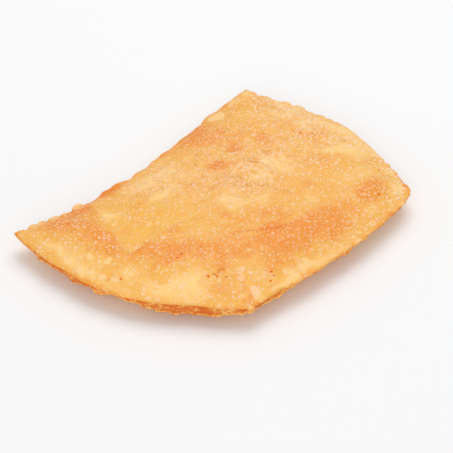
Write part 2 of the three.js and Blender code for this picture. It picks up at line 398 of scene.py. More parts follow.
def well_inside(x, y, loop, margin):
    """Whether each point is inside a loop and keeps a margin from the plan's edge."""
    keep = inside(x, y, *loop)
    distance = near_edge(x[keep], y[keep])[:, 0]
    keep[keep] = distance > np.broadcast_to(margin, keep.shape)[keep]
    return keep


# ---- Fields over the plan ----


def patches(x, y, table, seed):
    """The sum of a table of soft ragged patches."""
    x = x + 3 * noise(x, y, 9, seed) + 1.2 * noise(x, y, 3.5, seed + 1)
    y = y + 3 * noise(x, y, 9, seed + 2) + 1.2 * noise(x, y, 3.5, seed + 3)
    total = np.zeros_like(x)
    for cx, cy, half_length, half_width, strength, *turn in table:
        angle = math.radians(sum(turn))
        c, s = math.cos(angle), math.sin(angle)
        u = ((x - cx) * c + (y - cy) * s) / half_length
        v = ((y - cy) * c - (x - cx) * s) / half_width
        total += strength * np.exp(-((u * u + v * v) ** 1.5))
    return total


def left_crease(y):
    """x of the panel's left crease."""
    up = np.maximum(y - PANEL_BOTTOM, 0)
    return PANEL_LEFT + PANEL_LEAN * up + PANEL_BEND * up**2 + 1.1 * noise(y, 0 * y, 9, 50)


def bottom_crease(x):
    """y of the panel's lower crease."""
    return PANEL_BOTTOM + 0.8 * noise(x, 0 * x, 11, 51)


def panel(x, y, blur):
    """1 on the sunken panel and 0 off it, blurred at its creases."""
    past_left = smooth(x - left_crease(y), -blur, blur)
    past_bottom = smooth(y - bottom_crease(x), -blur, blur)
    return past_left * past_bottom * (1 - smooth(x, PANEL_RIGHT - 45, PANEL_RIGHT))


def rise(distance, height, shoulder):
    return height * (1 - np.exp(-((distance / shoulder) ** SEAM_FLATNESS)))


def puffs(x, y):
    total = np.zeros_like(x)
    for cx, cy, half_width, half_depth, height in PUFFS:
        total += height * np.exp(-(((x - cx) / half_width) ** 2) - ((y - cy) / half_depth) ** 2)
    return total


def crumpled(x, y):
    """How crumpled the skin is: most over the soft middle."""
    return np.maximum(patches(x, y, CRUMPLED, 68), 0)


def line_distance(x, y, line):
    """Distance to a line of points."""
    nearest = np.full_like(x, np.inf)
    for (ax, ay), (bx, by) in zip(line, line[1:]):
        dx, dy = bx - ax, by - ay
        t = np.clip(((x - ax) * dx + (y - ay) * dy) / (dx * dx + dy * dy), 0, 1)
        nearest = np.minimum(nearest, np.hypot(x - ax - t * dx, y - ay - t * dy))
    return nearest


def creased(x, y, column, half_width):
    """One value of the creases, such as their depth, at each point."""
    total = np.zeros_like(x)
    bent_x, bent_y = x + 0.6 * noise(x, y, 3, 52), y + 0.6 * noise(x, y, 3, 53)
    for crease in CREASES:
        near = np.exp(-((line_distance(bent_x, bent_y, crease[0]) / half_width) ** 2))
        total = np.maximum(total, crease[column] * near)
    return total


def wrinkles(x, y):
    """Crumpled skin: a net of narrow bent ridges."""
    bent_x = x + 2.5 * noise(x, y, 7, 40)
    bent_y = y + 2.5 * noise(x, y, 7, 41)
    broad = 1 - 3 * np.abs(noise(bent_x, bent_y, 7.5, 42))
    narrow = 1 - 3 * np.abs(noise(bent_x, bent_y, 3.6, 43))
    return crumpled(x, y) * (0.8 * broad + 0.5 * narrow) + 0.08 * narrow


def top_height(x, y, distance, _thickness):
    """Height of the plain top skin, before its blisters."""
    broad = puffs(x, y) - PANEL_DEPTH * panel(x, y, 2)
    uneven = 0.35 * noise(x, y, 15, 10) + 0.18 * noise(x, y, 6.5, 11) + 0.07 * noise(x, y, 3.2, 12)
    from_edge = rise(distance, 1, RELIEF_SHOULDER)
    relief = (broad + uneven + wrinkles(x, y) - creased(x, y, DEPTH, 1)) * from_edge
    rolled = EDGE_ROLL * np.exp(-distance / ROLL_WIDTH)
    return RIM_HEIGHT + rise(distance, DOME_RISE, DOME_SHOULDER) + relief - rolled


def under_height(x, y, distance, thickness):
    """Height of the plain lower skin, which the weight presses flat."""
    drop = rise(distance, BELLY_DROP, BELLY_SHOULDER)
    seam = SEAM_THICKNESS + (thickness - SEAM_THICKNESS) * np.exp(-distance / SEAM_WIDTH)
    uneven = 0.3 * noise(x, y, 14, 20) + 0.15 * noise(x, y, 6, 21)
    hanging = RIM_HEIGHT - seam - drop + uneven * rise(distance, 1, RELIEF_SHOULDER)
    settled = np.logaddexp(0, (hanging - FLOOR_GAP) / BELLY_PRESS) * BELLY_PRESS
    return np.where(hanging > 6 * BELLY_PRESS, hanging, settled + FLOOR_GAP)


def toast(x, y):
    """How browned the top is. The panel lies lower, so the brown stops at its creases."""
    browned = patches(x, y, TOASTED, 60)
    left_part = smooth(-x, -5, 15)
    cut = browned * (1 - 0.75 * left_part * panel(x, y, 0.7) * smooth(58 - y, 0, 10))
    return cut + creased(x, y, BROWNING, 0.8)


def pale(x, y):
    """Where the dough stood clear of the fat and stayed pale."""
    return patches(x, y, PALE, 64)


def crowded(x, y):
    """Where small pale blisters crowd."""
    return patches(x, y, DOTTED, 62)


def under_toast(x, y):
    """Browning of the underside, in its own broad patches."""
    return 0.45 + 0.55 * noise(x, y, 24, 70) + 0.25 * noise(x, y, 9, 71)


# ---- Blisters and pits ----

# Rings of mesh points of a blister, outwards: how far out, how many, how high, how coloured.
TINY_RINGS = [(0, 1, 1, 1), (1, 6, 0, 0)]
SMALL_RINGS = [(0, 1, 1, 1), (0.6, 6, 0.75, 1), (1, 7, 0, 0)]
MEDIUM_RINGS = [(0, 1, 1, 1), (0.45, 6, 0.93, 1), (0.8, 9, 0.6, 1), (1.02, 10, 0, 0)]
LARGE_RINGS = [
    (0, 1, 1, 1), (0.35, 6, 1, 1), (0.65, 10, 0.93, 1),
    (0.86, 14, 0.66, 1), (0.98, 16, 0.16, 0.3), (1.06, 18, 0, 0),
]

# Scattered blisters: tries, radii, height per radius, tones, and gap to the edge.
LARGE = (80, (1.3, 1.9), 0.14, (0.3, 0.6), 1.1)
MEDIUM = (1300, (0.95, 1.4), 0.2, (0.2, 0.8), 1.1)
SMALL = (6500, (0.75, 1.15), 0.45, (0.2, 1), 0.9)
TINY = (50000, (0.45, 0.75), 0.5, (0.2, 1), 0.9)
UNDER_MEDIUM = (900, (0.9, 1.7), 0.25, (0, 0.7), 1.6)
UNDER_SMALL = (1200, (0.6, 0.85), 0.4, (0.2, 1), 1.6)

# Blisters with a place of their own: centre, half length, half width, turn in degrees,
# height, and tone from 0 for cream to 1 for fainter and pinker.
NAMED_BLISTERS = [
    (54.5, 64, 7.2, 6.2, 8, 0.45, 0.1), (85.5, 69, 3.2, 2.4, 60, 0.33, 0.15),
    (74, 70, 2.6, 1.8, 10, 0.33, 0.15), (-43, -53.7, 3.6, 2.4, 45, 0.33, 0.6),
    (-40.5, -51, 3.4, 2.2, 0, 0.3, 0.6), (-33.5, -70, 2.2, 1.6, 0, 0.3, 0.2),
    (-21.5, -70, 1.9, 1.5, 0, 0.3, 0.2), (-43.5, -65.5, 4.8, 2.7, 52, 0.39, 0.4),
    (-84, 6, 2.6, 2, 0, 0.33, 0.15), (-88, 16, 2.6, 2, 60, 0.33, 0.15), (-97, 24, 2.2, 1.8, 80, 0.26, 0.25),
    (-97, 14, 2.3, 2, 85, 0.33, 0.25), (-94, 8, 2.2, 1.7, 90, 0.33, 0.25),
    (-92.5, 1, 2.4, 1.9, 100, 0.33, 0.25), (-89.5, -6, 2.5, 1.8, 110, 0.33, 0.25),
    (-61, 25.5, 3, 1.6, 30, 0.26, 0.15), (-49, 11, 2.2, 1.6, 0, 0.26, 0.25),
    (-86, -28, 1.9, 1.5, 0, 0.33, 0.25), (-84, -32.5, 2, 1.6, 30, 0.33, 0.25),
    (-80, -40, 2.3, 1.7, 0, 0.33, 0.25), (-75, -46, 2, 1.5, 0, 0.33, 0.25),
    (-71, -51, 1.8, 1.5, 0, 0.33, 0.25), (-64, -58.5, 1.9, 1.5, 0, 0.33, 0.25),
    (-59, -62.5, 1.8, 1.5, 0, 0.33, 0.25), (44.8, -70.3, 2.6, 2.1, 0, 0.42, 0.35),
    (33.5, -70.5, 1.7, 1.3, 0, 0.33, 0.25), (28, -71, 1.6, 1.2, 0, 0.33, 0.25),
]

# Burst pits and specks: the same, with a depth, and tone from 0 for red to 1 for ochre.
PITS = [
    (-58.2, -21.4, 0.8, 0.5, 10, 0.15, 0), (-54.8, -21, 0.85, 0.6, 0, 0.15, 0),
    (-43.5, -24, 0.6, 0.5, 0, 0.12, 0.4), (-55, -41.7, 1.2, 0.5, 70, 0.15, 0),
    (-49, -49, 0.8, 0.6, 0, 0.05, 0.9), (-27.3, -61.6, 1, 0.45, -45, 0.15, 0),
    (-27.9, -63.9, 0.8, 0.4, -20, 0.15, 0), (-31.8, -65.2, 0.9, 0.45, 0, 0.12, 0.1),
    (69.3, 13, 0.9, 0.6, 60, 0.05, 0.9), (72, 10, 1.1, 0.6, 60, 0.18, 0.4),
    (88, -10.5, 1.2, 0.55, 10, 0.05, 0.9), (82, -42.5, 1.2, 0.6, 10, 0.05, 0.9),
    (63, -59, 1, 0.6, 0, 0.1, 0.5), (-87, -8, 0.8, 0.6, 0, 0.15, 0.4), (-91.5, -3, 0.6, 0.45, 0, 0.12, 0.4),
    (-78, 45, 0.9, 0.6, 0, 0.15, 0), (15, 39, 0.8, 0.5, 0, 0.05, 0.9), (7, 32, 0.7, 0.45, 0, 0.12, 0.4),
]

# Cracks: where each starts, how far it runs, how much it bends, how many pits it has.
CRACKS = [
    (-49.8, -44.1, 2.4, 0.6, 0.2, 4), (-46.9, -44.2, 0.2, -1, 0.1, 2), (-52.4, -42.6, 0.2, -3, 0.15, 5),
]
CRACK_PIT = (0.65, 0.5, 0, 0.03, 0.9)  # a pit's other values, as in PITS


def crack(x, y, run_x, run_y, bend, count):
    """A bent crack in the skin: a chain of small ochre pits."""
    rows = []
    for t in np.linspace(0, 1, count):
        bow = 4 * bend * t * (1 - t)
        rows.append((x + run_x * t - run_y * bow, y + run_y * t + run_x * bow, *CRACK_PIT))
    return rows


for row in CRACKS:
    PITS += crack(*row)


class Cover:
    """A fine grid of the plan that remembers what has been placed."""

    CELL = 0.3
    HALF = 130  # half the grid's side

    def __init__(self):
        size = int(2 * self.HALF / self.CELL)
        self.taken = np.zeros((size, size), bool)

    def spot(self, x, y, radius):
        """The grid cells within a radius, as a window and a disc in it."""
        i, j = int((x + self.HALF) / self.CELL), int((y + self.HALF) / self.CELL)
        n = int(radius / self.CELL) + 1
        span = np.arange(-n, n + 1)
        disc = span[:, None] ** 2 + span[None, :] ** 2 <= (radius / self.CELL) ** 2
        return self.taken[i - n : i + n + 1, j - n : j + n + 1], disc

    def free(self, x, y, radius):
        window, disc = self.spot(x, y, radius)
        return not np.any(window & disc)

    def take(self, x, y, radius):
        window, disc = self.spot(x, y, radius)
        window |= disc


def scatter(cover, rng, loop, kind, chance):
    """Rows of random blisters that keep clear of each other and of the edge."""
    tries, (least, greatest), height, tones, margin = kind
    x, y = rng.uniform(-PLAN_X, PLAN_X, tries), rng.uniform(-PLAN_Y, PLAN_Y, tries)
    radius = least * (greatest / least) ** rng.random(tries)
    keep = rng.random(tries) < chance(x, y)
    keep[keep] = well_inside(x[keep], y[keep], loop, radius[keep] + margin)
    rows = []
    for cx, cy, r in zip(x[keep], y[keep], radius[keep]):
        room = r * 1.1
        if cover.free(cx, cy, room):
            cover.take(cx, cy, room)
            length, turn, tone = r * rng.uniform(1, 1.25), rng.uniform(0, 180), rng.uniform(*tones)
            rows.append((cx, cy, length, r, turn, r * height, tone))
    return rows


def ring_points(rows, rings, rng, sign=1):
    """Mesh points of blisters (sign 1) or pits (sign -1): x, y, lift, blister, tone and pit.

    Some of the larger blisters have less of their colour in the middle, so that their lighter outline is a
    painted highlight ring.
    """
    cx, cy, half_length, half_width, turn, height, tone = np.array(rows, float).T[:, :, None]
    phase = rng.uniform(0, 2 * np.pi, (3, len(rows), 1))
    # painted highlight: a lighter ring round some larger blisters
    hollow = rng.uniform(-0.4, 0.5, (len(rows), 1)).clip(0) * (len(rings) > 3)
    parts = []
    c, s = np.cos(np.radians(turn)), np.sin(np.radians(turn))
    for k, (out, number, lift, colour) in enumerate(rings):
        angle = 2 * np.pi * (np.arange(number) + 0.5 * k) / number + phase[0]
        ragged = 1 + 0.1 * np.sin(2 * angle + phase[1]) + 0.06 * np.sin(3 * angle + phase[2])
        u, v = half_length * out * ragged * np.cos(angle), half_width * out * ragged * np.sin(angle)
        x, y = cx + u * c - v * s, cy + u * s + v * c
        blister = colour * (1 - hollow * (out < 0.6)) * (sign > 0)
        columns = [x, y, sign * height * lift, blister, tone, colour * (sign < 0)]
        parts.append(np.reshape(np.broadcast_arrays(*columns), (6, -1)))
    return np.concatenate(parts, axis=1)


# ---- Sheets ----


def skin_points(cover, rng, loop, pitch):
    """Points of the plain skin between the blisters, on a jittered triangular grid."""
    columns = np.arange(-PLAN_X, PLAN_X, pitch)
    rows = np.arange(-PLAN_Y, PLAN_Y, pitch * 0.866)
    x, y = np.meshgrid(columns, rows, indexing="ij")
    x[:, 1::2] += pitch / 2
    x = (x + rng.uniform(-0.3, 0.3, x.shape) * pitch).ravel()
    y = (y + rng.uniform(-0.3, 0.3, y.shape) * pitch).ravel()
    keep = well_inside(x, y, loop, SKIN_MARGIN)
    return uncovered(cover, x[keep], y[keep], pitch * 0.3)


def uncovered(cover, x, y, radius):
    """The points that keep a distance from everything placed so far."""
    free = np.array([cover.free(px, py, radius) for px, py in zip(x, y)])
    return x[free], y[free]


def spaced(cover, x, y, radius):
    """The points that keep a distance from everything placed so far and from each other."""
    kept = []
    for px, py in zip(x, y):
        if cover.free(px, py, radius):
            cover.take(px, py, radius)
            kept.append((px, py))
    return np.array(kept).T


def crumple_points(cover, rng):
    """Extra points where the skin is crumpled."""
    tries = 12000
    x, y = rng.uniform(-50, 100, tries), rng.uniform(-50, 60, tries)
    keep = rng.random(tries) < 0.9 * crumpled(x, y)
    keep[keep] = well_inside(x[keep], y[keep], (EDGE_X, EDGE_Y), 3)
    return uncovered(cover, x[keep], y[keep], 0.3)


def crease_points(cover):
    """Closer rows of points along the creases, so that they stay sharp."""
    run = np.arange(0, PANEL_CREASE, CREASE_STEP)
    up, across = PANEL_BOTTOM + run, PANEL_LEFT + 1.5 + run
    lines = [np.stack([left_crease(up), up], 1), np.stack([across, bottom_crease(across)], 1)]
    lines += [np.array(line) for line, *_ in CREASES]
    parts = []
    for line in lines:
        x, y = points_along(line, np.arange(0, lengths_along(line)[-1], CREASE_STEP))
        dx, dy = np.gradient(x), np.gradient(y)
        for off in CREASE_ROWS:
            parts.append((x - off * dy / CREASE_STEP, y + off * dx / CREASE_STEP))
    x, y = joined(parts)
    return spaced(cover, x, y, 0.3)


def collar_points(loop, insets=(0.6, 1.5)):
    """Rows of points just inside the edge, so that it rounds over evenly."""
    parts = []
    for k, inset in enumerate(insets):
        pick = slice(None, None, k + 1)
        x, y = (loop[0] - OUT_X * inset)[pick], (loop[1] - OUT_Y * inset)[pick]
        keep = well_inside(x, y, loop, inset * 0.4)
        parts.append((x[keep], y[keep]))
    return joined(parts)


def triangulate(x, y, border):
    """Triangles between points, counter-clockwise. The first points are the border, in order."""
    points = [Vector(p) for p in zip(x.tolist(), y.tolist())]
    loop = [list(range(border))]
    _, _, faces, origins, _, _ = delaunay_2d_cdt(points, [], loop, 1, 1e-5)
    if len(origins) != len(points):
        raise RuntimeError("two points of a sheet coincide")
    return np.array([old for old, in origins])[np.array(faces)]


class Sheet:
    """One sheet of dough: points over the plan with heights, colours and triangles."""

    def __init__(self, loop, plain, spots, height, side):
        """side is 1 for the top sheet, which faces up, and -1 for the lower one."""
        self.x, self.y = joined([loop, plain, spots[:2]])
        border = len(loop[0])
        distance, thickness, bubble, self.edge_browned = near_edge(self.x, self.y).T
        distance[:border] = 0
        bubble[:border] = RIM_BUBBLES
        nothing = np.zeros((4, len(self.x) - len(spots[0])))
        lift, self.blister, self.tone, self.pit = np.concatenate([nothing, spots[2:]], axis=1)
        on_rim = bubble * np.exp(-((distance / BUBBLE_WIDTH) ** 2)) * (side > 0)
        self.z = height(self.x, self.y, distance, thickness) + side * lift + BUBBLE_RISE * on_rim
        self.blister = np.maximum(self.blister, np.minimum(on_rim, 1))
        self.distance = distance
        self.faces = triangulate(self.x, self.y, border)[:, ::side]


def top_sheet():
    """The top sheet: named blisters and pits first, and random ones between them."""
    rng = np.random.default_rng(7)
    loop_out = EDGE_OUT + RIM_BUBBLES
    loop = (EDGE_X + OUT_X * loop_out, EDGE_Y + OUT_Y * loop_out)
    cover = Cover()
    for x, y, half_length, *_ in NAMED_BLISTERS + PITS:
        cover.take(x, y, half_length * 1.15)

    def on_plain(x, y):
        return 0.25 + 0.5 * pale(x, y)

    def on_brown(crowding):
        def chance(x, y):
            return 0.2 + 0.6 * toast(x, y) + 0.35 * noise(x, y, 9, 80) + crowding * crowded(x, y)

        return chance

    kinds = [(LARGE, on_plain), (MEDIUM, on_plain), (SMALL, on_brown(1)), (TINY, on_brown(-0.3))]
    large, medium, small, tiny = [scatter(cover, rng, loop, *kind) for kind in kinds]
    spots = [
        ring_points(NAMED_BLISTERS + large, LARGE_RINGS, rng),
        ring_points(medium, MEDIUM_RINGS, rng),
        ring_points(small, SMALL_RINGS, rng),
        ring_points(tiny, TINY_RINGS, rng),
        ring_points(PITS, MEDIUM_RINGS, rng, -1),
    ]
    plain = [
        crease_points(cover),
        skin_points(cover, rng, loop, SKIN_PITCH),
        crumple_points(cover, rng),
        collar_points(loop),
    ]
    return Sheet(loop, joined(plain), joined(spots), top_height, 1)


def under_sheet(loop):
    """The lower sheet, with blisters of its own that carry the pastel."""
    rng = np.random.default_rng(8)
    cover = Cover()

    def anywhere(x, y):
        return 0.45 + 0.35 * noise(x, y, 16, 81)

    medium = scatter(cover, rng, loop, UNDER_MEDIUM, anywhere)
    small = scatter(cover, rng, loop, UNDER_SMALL, anywhere)
    spots = [ring_points(medium, MEDIUM_RINGS, rng), ring_points(small, SMALL_RINGS, rng)]
    plain = [skin_points(cover, rng, loop, SKIN_PITCH * 1.5), collar_points(loop)]
    return Sheet(loop, joined(plain), joined(spots), under_height, -1)


def joined(tables):
    """Tables of the same columns, one after the other."""
    return [np.concatenate(column) for column in zip(*tables)]


# ---- Wall ----

# Rows of the pressed wall: how far down between the edge and the lip, and how far in as a
# share of the recess. The first one rolls out a little.
SEAM_ROWS = [(0.06, -0.12), (0.18, 0.4), (0.34, 0.85), (0.5, 1), (0.66, 1), (0.82, 0.9), (0.95, 0.6)]

# Rows of the lip: how far down through its thickness, and out as a share of its reach.
LIP_ROWS = [(0, 0.2), (0.08, 0.75), (0.35, 1), (0.7, 0.95), (1, 0.55)]


def lip_reach():
    """How far the lower sheet's lip stands out: uneven, and torn where the seam gapes."""
    start, end = CRIMPED
    lobes = LOBE_DEPTH * edge_noise(6.5, 30) + 0.6 * edge_noise(2.6, 31)
    torn = 1.6 * smooth(edge_noise(3.1, 35), 0.3, 0.7) + 0.7 * np.abs(edge_noise(1.6, 37))
    crimps = 0.6 * edge_noise(2, 39) * (smooth(ALONG, start, start + 8) - (ALONG > end))
    gaping, shut = LIP_REACH + lobes - torn, 0.25 * lobes + crimps
    reach = 0.1 + gaping * GAPE + shut * (1 - GAPE) + bumps(LIP_FLAKES)
    return np.maximum(reach, -0.4)


def pleats(below):
    """Flaky layers in the pressed wall, from -1 in a hollow to 1 on a flake."""
    here = ALONG + 0.8 * below
    down = below + 0.7 * noise(ALONG, below, 3, 36)
    broad = edge_noise(11, 54)
    coarse = noise(here, down * 3.2, 3.4, 32)
    fine = noise(here, down * 3, 1.4, 33)
    return np.clip(0.5 * broad + coarse + 0.8 * fine, -1, 1)


def wall_profile():
    """Rows down the pressed wall and its lip: how far below the edge, how far out, and flakes, with painted
    highlight and bounce light on the pressed wall.
    """
    lip_thickness = np.minimum(LIP_THICKNESS, 0.45 * THICKNESS)
    wall_height = THICKNESS - lip_thickness
    lip = (1 - FOLD) * lip_reach()
    rows = []
    for down, across in SEAM_ROWS:
        below = down * wall_height
        # Where the seam is pressed shut the wall is painted lighter: painted bounce light.
        flake_and_painted_light = 0.6 * (1 - GAPE) + pleats(below) * (0.3 + 0.7 * GAPE)
        # The first row under the edge is painted light: a highlight along the rolled edge.
        flake_and_painted_light += (0.8 - 0.3 * GAPE) * (not rows)
        recess = SEAM_RECESS * (0.25 + 0.75 * GAPE) * across
        push = (0.2 + 0.8 * GAPE) * flake_and_painted_light * math.sin(math.pi * down) - recess
        rows.append((below, push, flake_and_painted_light))
    for down, across in LIP_ROWS:
        below = wall_height + down * lip_thickness
        flake_and_painted_light = 0.5 + (0.15 + 0.4 * noise(ALONG, below, 2, 34)) * GAPE
        rows.append((below, lip * across, flake_and_painted_light))
    return rows


def wall_rows():
    """Rows from below the top edge to the underside's edge: x, y, z, wall, flakes with painted light, and
    blister.

    The fold has no wall and lip, and rounds down in half a turn instead.
    """
    seam = 1 - FOLD
    profile = wall_profile()
    rows = []
    for k, (below, push, flake_and_painted_light) in enumerate(profile):
        turn = math.pi * (k + 1) / len(profile)
        near_top = math.cos(turn / 2)
        round_below = THICKNESS * (1 - math.cos(turn)) / 2
        lumps = 0.5 * noise(ALONG, round_below, 6, 44) + 0.3 * noise(ALONG, round_below, 2.4, 45)
        rounded = FOLD * (FOLD_BULGE + lumps) * math.sin(turn)
        bubble = RIM_BUBBLES * near_top ** (0.7 + 1.5 * FOLD)
        out = EDGE_OUT + bubble + seam * push + rounded
        z = RIM_HEIGHT - EDGE_ROLL - seam * below - FOLD * round_below
        z += BUBBLE_RISE * bubble * near_top
        blister = bubble / (bubble + 0.5) * near_top**2
        rows.append([EDGE_X + OUT_X * out, EDGE_Y + OUT_Y * out, z, seam, flake_and_painted_light, blister])
    rows = np.array(rows, float)
    rows[:, 4] -= np.interp(ALONG, *zip(*WALL_BROWNED))
    return rows


# ---- Crust ----


def colour_masks(top, wall, under):
    """The material's values at the vertices of the top, the wall and the underside."""
    *on_wall, _, seam, flake_and_painted_light, bubble = wall
    on_top, on_under = (top.x, top.y), (under.x, under.y)
    places = [on_top, on_wall, on_under]
    no_top, no_wall, no_under = (np.zeros_like(x) for x, _ in places)
    masks = {
        "toast": [
            toast(*on_top) + top.edge_browned * np.exp(-((top.distance / RIM_BROWN_WIDTH) ** 2)),
            toast(*on_wall) + 0.2 + 0.55 * seam,
            under_toast(*on_under),
        ],
        "yellow": [patches(*place, YELLOWED, 66) for place in places],
        "pale": [pale(*on_top), pale(*on_wall), no_under],
        "crumple": [crumpled(*on_top), no_wall, no_under],
        "crowded": [crowded(*on_top), no_wall, no_under],
        # painted shade along the creases
        "groove": [creased(*on_top, OCHRE, 1.3), no_wall, no_under],
        "blister": [top.blister, bubble, under.blister],
        "tone": [top.tone, no_wall, under.tone],
        "pit": [top.pit, no_wall, under.pit],
        "wall": [no_top, seam, no_under],
        "flake_and_painted_light": [no_top + 1, flake_and_painted_light, no_under + 1],
    }
    return {name: np.concatenate(parts) for name, parts in masks.items()}


def wall_quads(starts, count):
    """Quads between neighbouring rows of count points, given where each row starts."""
    ring = np.arange(count)
    ahead = np.roll(ring, -1)
    rows = [(high + ring, low + ring, low + ahead, high + ahead) for high, low in zip(starts, starts[1:])]
    return np.concatenate([np.stack(row, 1) for row in rows])


def crust_mesh():
    """The closed crust: its vertices, its faces and its colour masks."""
    top = top_sheet()
    rows = wall_rows()
    under = under_sheet(rows[-1, :2])
    count = len(EDGE_X)
    under.z[:count] = rows[-1, 2]
    wall = rows[:-1].transpose(1, 0, 2).reshape(6, -1)
    parts = [(top.x, top.y, top.z), wall[:3], (under.x, under.y, under.z)]

    under_start = len(top.x) + wall.shape[1]
    starts = [0, *range(len(top.x), under_start + 1, count)]
    faces = top.faces.tolist() + wall_quads(starts, count).tolist()
    faces += (under.faces + under_start).tolist()
    return np.stack(joined(parts), 1), faces, colour_masks(top, wall, under)


def crust_piece():
    low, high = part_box("pastel")
    scale = (high[0] - low[0]) / PLAN_LENGTH
    points, faces, masks = crust_mesh()
    mesh = bpy.data.meshes.new("crust")
    mesh.from_pydata((points * scale).tolist(), [], faces)
    for name, values in masks.items():
        mesh.attributes.new(name, "FLOAT", "POINT").data.foreach_set("value", values.astype(np.float32))
    mesh.shade_smooth()
    mesh.materials.append(fried_dough())
    crust = bpy.data.objects.new("crust", mesh)
    bpy.context.collection.objects.link(crust)
    return crust


# ---- Material ----


def colour(red, green, blue):
    """A screen colour, from 0 to 255, in the shader's linear values."""
    linear = [((c / 255 + 0.055) / 1.055) ** 2.4 if c > 10 else c / 3294.6 for c in (red, green, blue)]
    return (*linear, 1)


class Nodes:
    """Short names for the few kinds of nodes that the material is built from."""

    def __init__(self, material):
        self.tree = material.node_tree
        self.place = self.add("TexCoord").outputs["Object"]

    def add(self, kind, *values, **settings):
        """A new node with its settings, and its first inputs linked or set in order."""
        node = self.tree.nodes.new("ShaderNode" + kind)
        for name, value in settings.items():
            setattr(node, name, value)
        for value, socket in zip(values, node.inputs):
            self.wire(value, socket)
        return node

    def wire(self, value, socket):
        """Links an output to a socket, or sets a plain value on it."""
        if isinstance(value, bpy.types.NodeSocket):
            self.tree.links.new(value, socket)
        else:
            socket.default_value = value

    def mask(self, name):
        return self.add("Attribute", attribute_name=name).outputs["Fac"]

    def fill(self, node, **values):
        """Links or sets inputs of a node by their names."""
        for name, value in values.items():
            self.wire(value, node.inputs[name])

    def noise(self, size, detail=2, roughness=0.5, place=None):
        """Noise from 0 to 1 with features of a size in metres."""
        node = self.add("TexNoise")
        self.fill(node, Vector=place or self.place, Scale=1 / size, Detail=detail, Roughness=roughness)
        return node.outputs["Fac"]

    def streaks(self, size):
        """Noise drawn out along the fold."""
        stretch = self.add("VectorMath", self.place, (0.3, 1, 1), operation="MULTIPLY")
        return self.noise(size, place=stretch.outputs["Vector"])

    def dots(self, size, radius):
        """Scattered soft dots: size is their spacing in metres, radius the largest's share of it."""
        node = self.add("TexVoronoi", feature="F1")
        self.fill(node, Vector=self.place, Scale=1 / size)
        chance = self.add("SeparateColor", node.outputs["Color"])
        reach = self.spread(chance.outputs[0], 0.15, 1, 0, radius)
        return self.spread(node.outputs["Distance"], self.times(reach, 0.7), reach, 1, 0)

    def math(self, operation, a, b=0):
        return self.add("Math", a, b, operation=operation).outputs[0]

    plus = partialmethod(math, "ADD")
    minus = partialmethod(math, "SUBTRACT")
    times = partialmethod(math, "MULTIPLY")
    larger = partialmethod(math, "MAXIMUM")

    def spread(self, value, low, high, to_low=0, to_high=1):
        """Maps a range of values smoothly to another."""
        values = value, low, high, to_low, to_high
        return self.add("MapRange", *values, interpolation_type="SMOOTHSTEP").outputs["Result"]

    def mix(self, fac, a, b):
        node = self.add("Mix", data_type="RGBA")
        self.wire(fac, node.inputs["Factor"])
        self.wire(a, node.inputs[6])
        self.wire(b, node.inputs[7])
        return node.outputs[2]


GOLDEN = colour(244, 182, 89)
YELLOW = colour(245, 185, 84)
BROWNED = colour(240, 150, 55)
DEEP_BROWN = colour(233, 124, 32)
PALE_CREAM = colour(255, 210, 134)
CREAM_SKIN = colour(254, 208, 138)
BLISTER_SKIN = colour(255, 221, 194)
TOASTED_SKIN = colour(251, 205, 168)
# ochre painted shade for the creases and the hollows of crumpled skin
GROOVE_SHADE_OCHRE = colour(224, 150, 66)
WALL_ORANGE = colour(228, 124, 44)
# cream of the wall's flakes, also used for its painted highlight and painted bounce light
FLAKE_CREAM_AND_PAINTED_LIGHT = colour(253, 192, 104)
BURNT_RED = colour(232, 78, 12)
BURNT_OCHRE = colour(218, 124, 32)


# Sizes of the finest detail, in metres.
FINE_DOTS = 0.0014
COARSE_DOTS = 0.0026
FOLD_NET = (0.0045, 0.0026)
GRAIN = 0.0011
GRAIN_DEPTH = 0.0003


def crumple_net(n):
    """Bent narrow ridges of crumpled skin: a mask."""
    lines = []
    for size in FOLD_NET:
        off_line = n.math("ABSOLUTE", n.minus(n.noise(size, 1), 0.5))
        lines.append(n.spread(off_line, 0, 0.05, 1, 0))
    return n.times(n.larger(*lines), n.mask("crumple"))


def groove_shade(n):
    """Painted shade in the hollows between the ridges of crumpled skin: a mask."""
    hollow = n.spread(n.noise(0.007, 2, 0.55), 0.36, 0.5, 1, 0)
    return n.times(hollow, n.mask("crumple"))


def tiny_blisters(n):
    """Pale dots of many sizes, too small to model: a mask."""
    return n.larger(n.dots(FINE_DOTS, 0.42), n.dots(COARSE_DOTS, 0.3))


def mottling(n):
    """Uneven browning: spots, stronger on crumpled skin, and streaks on the yellow dough."""
    coarse = n.spread(n.noise(0.005, 3, 0.6), 0.3, 0.7, -0.15, 0.15)
    fine = n.spread(n.noise(0.0014, 2, 0.6), 0.3, 0.7, -0.15, 0.15)
    strength = n.spread(n.mask("crumple"), 0, 0.8, 1, 1.7)
    streaks = n.spread(n.streaks(0.0035), 0.35, 0.65, -0.25, 0.25)
    return n.plus(n.times(n.plus(coarse, fine), strength), n.times(streaks, n.mask("yellow")))


def paleness(n):
    """How pale the dough is: mottled where it is crumpled, and less so where blisters crowd."""
    mottled = n.spread(n.noise(0.0075, 2, 0.6), 0.35, 0.65, -0.15, 0.4)
    mottled = n.times(mottled, n.mask("crumple"))
    return n.plus(n.mask("pale"), n.minus(mottled, n.times(n.mask("crowded"), 0.35)))


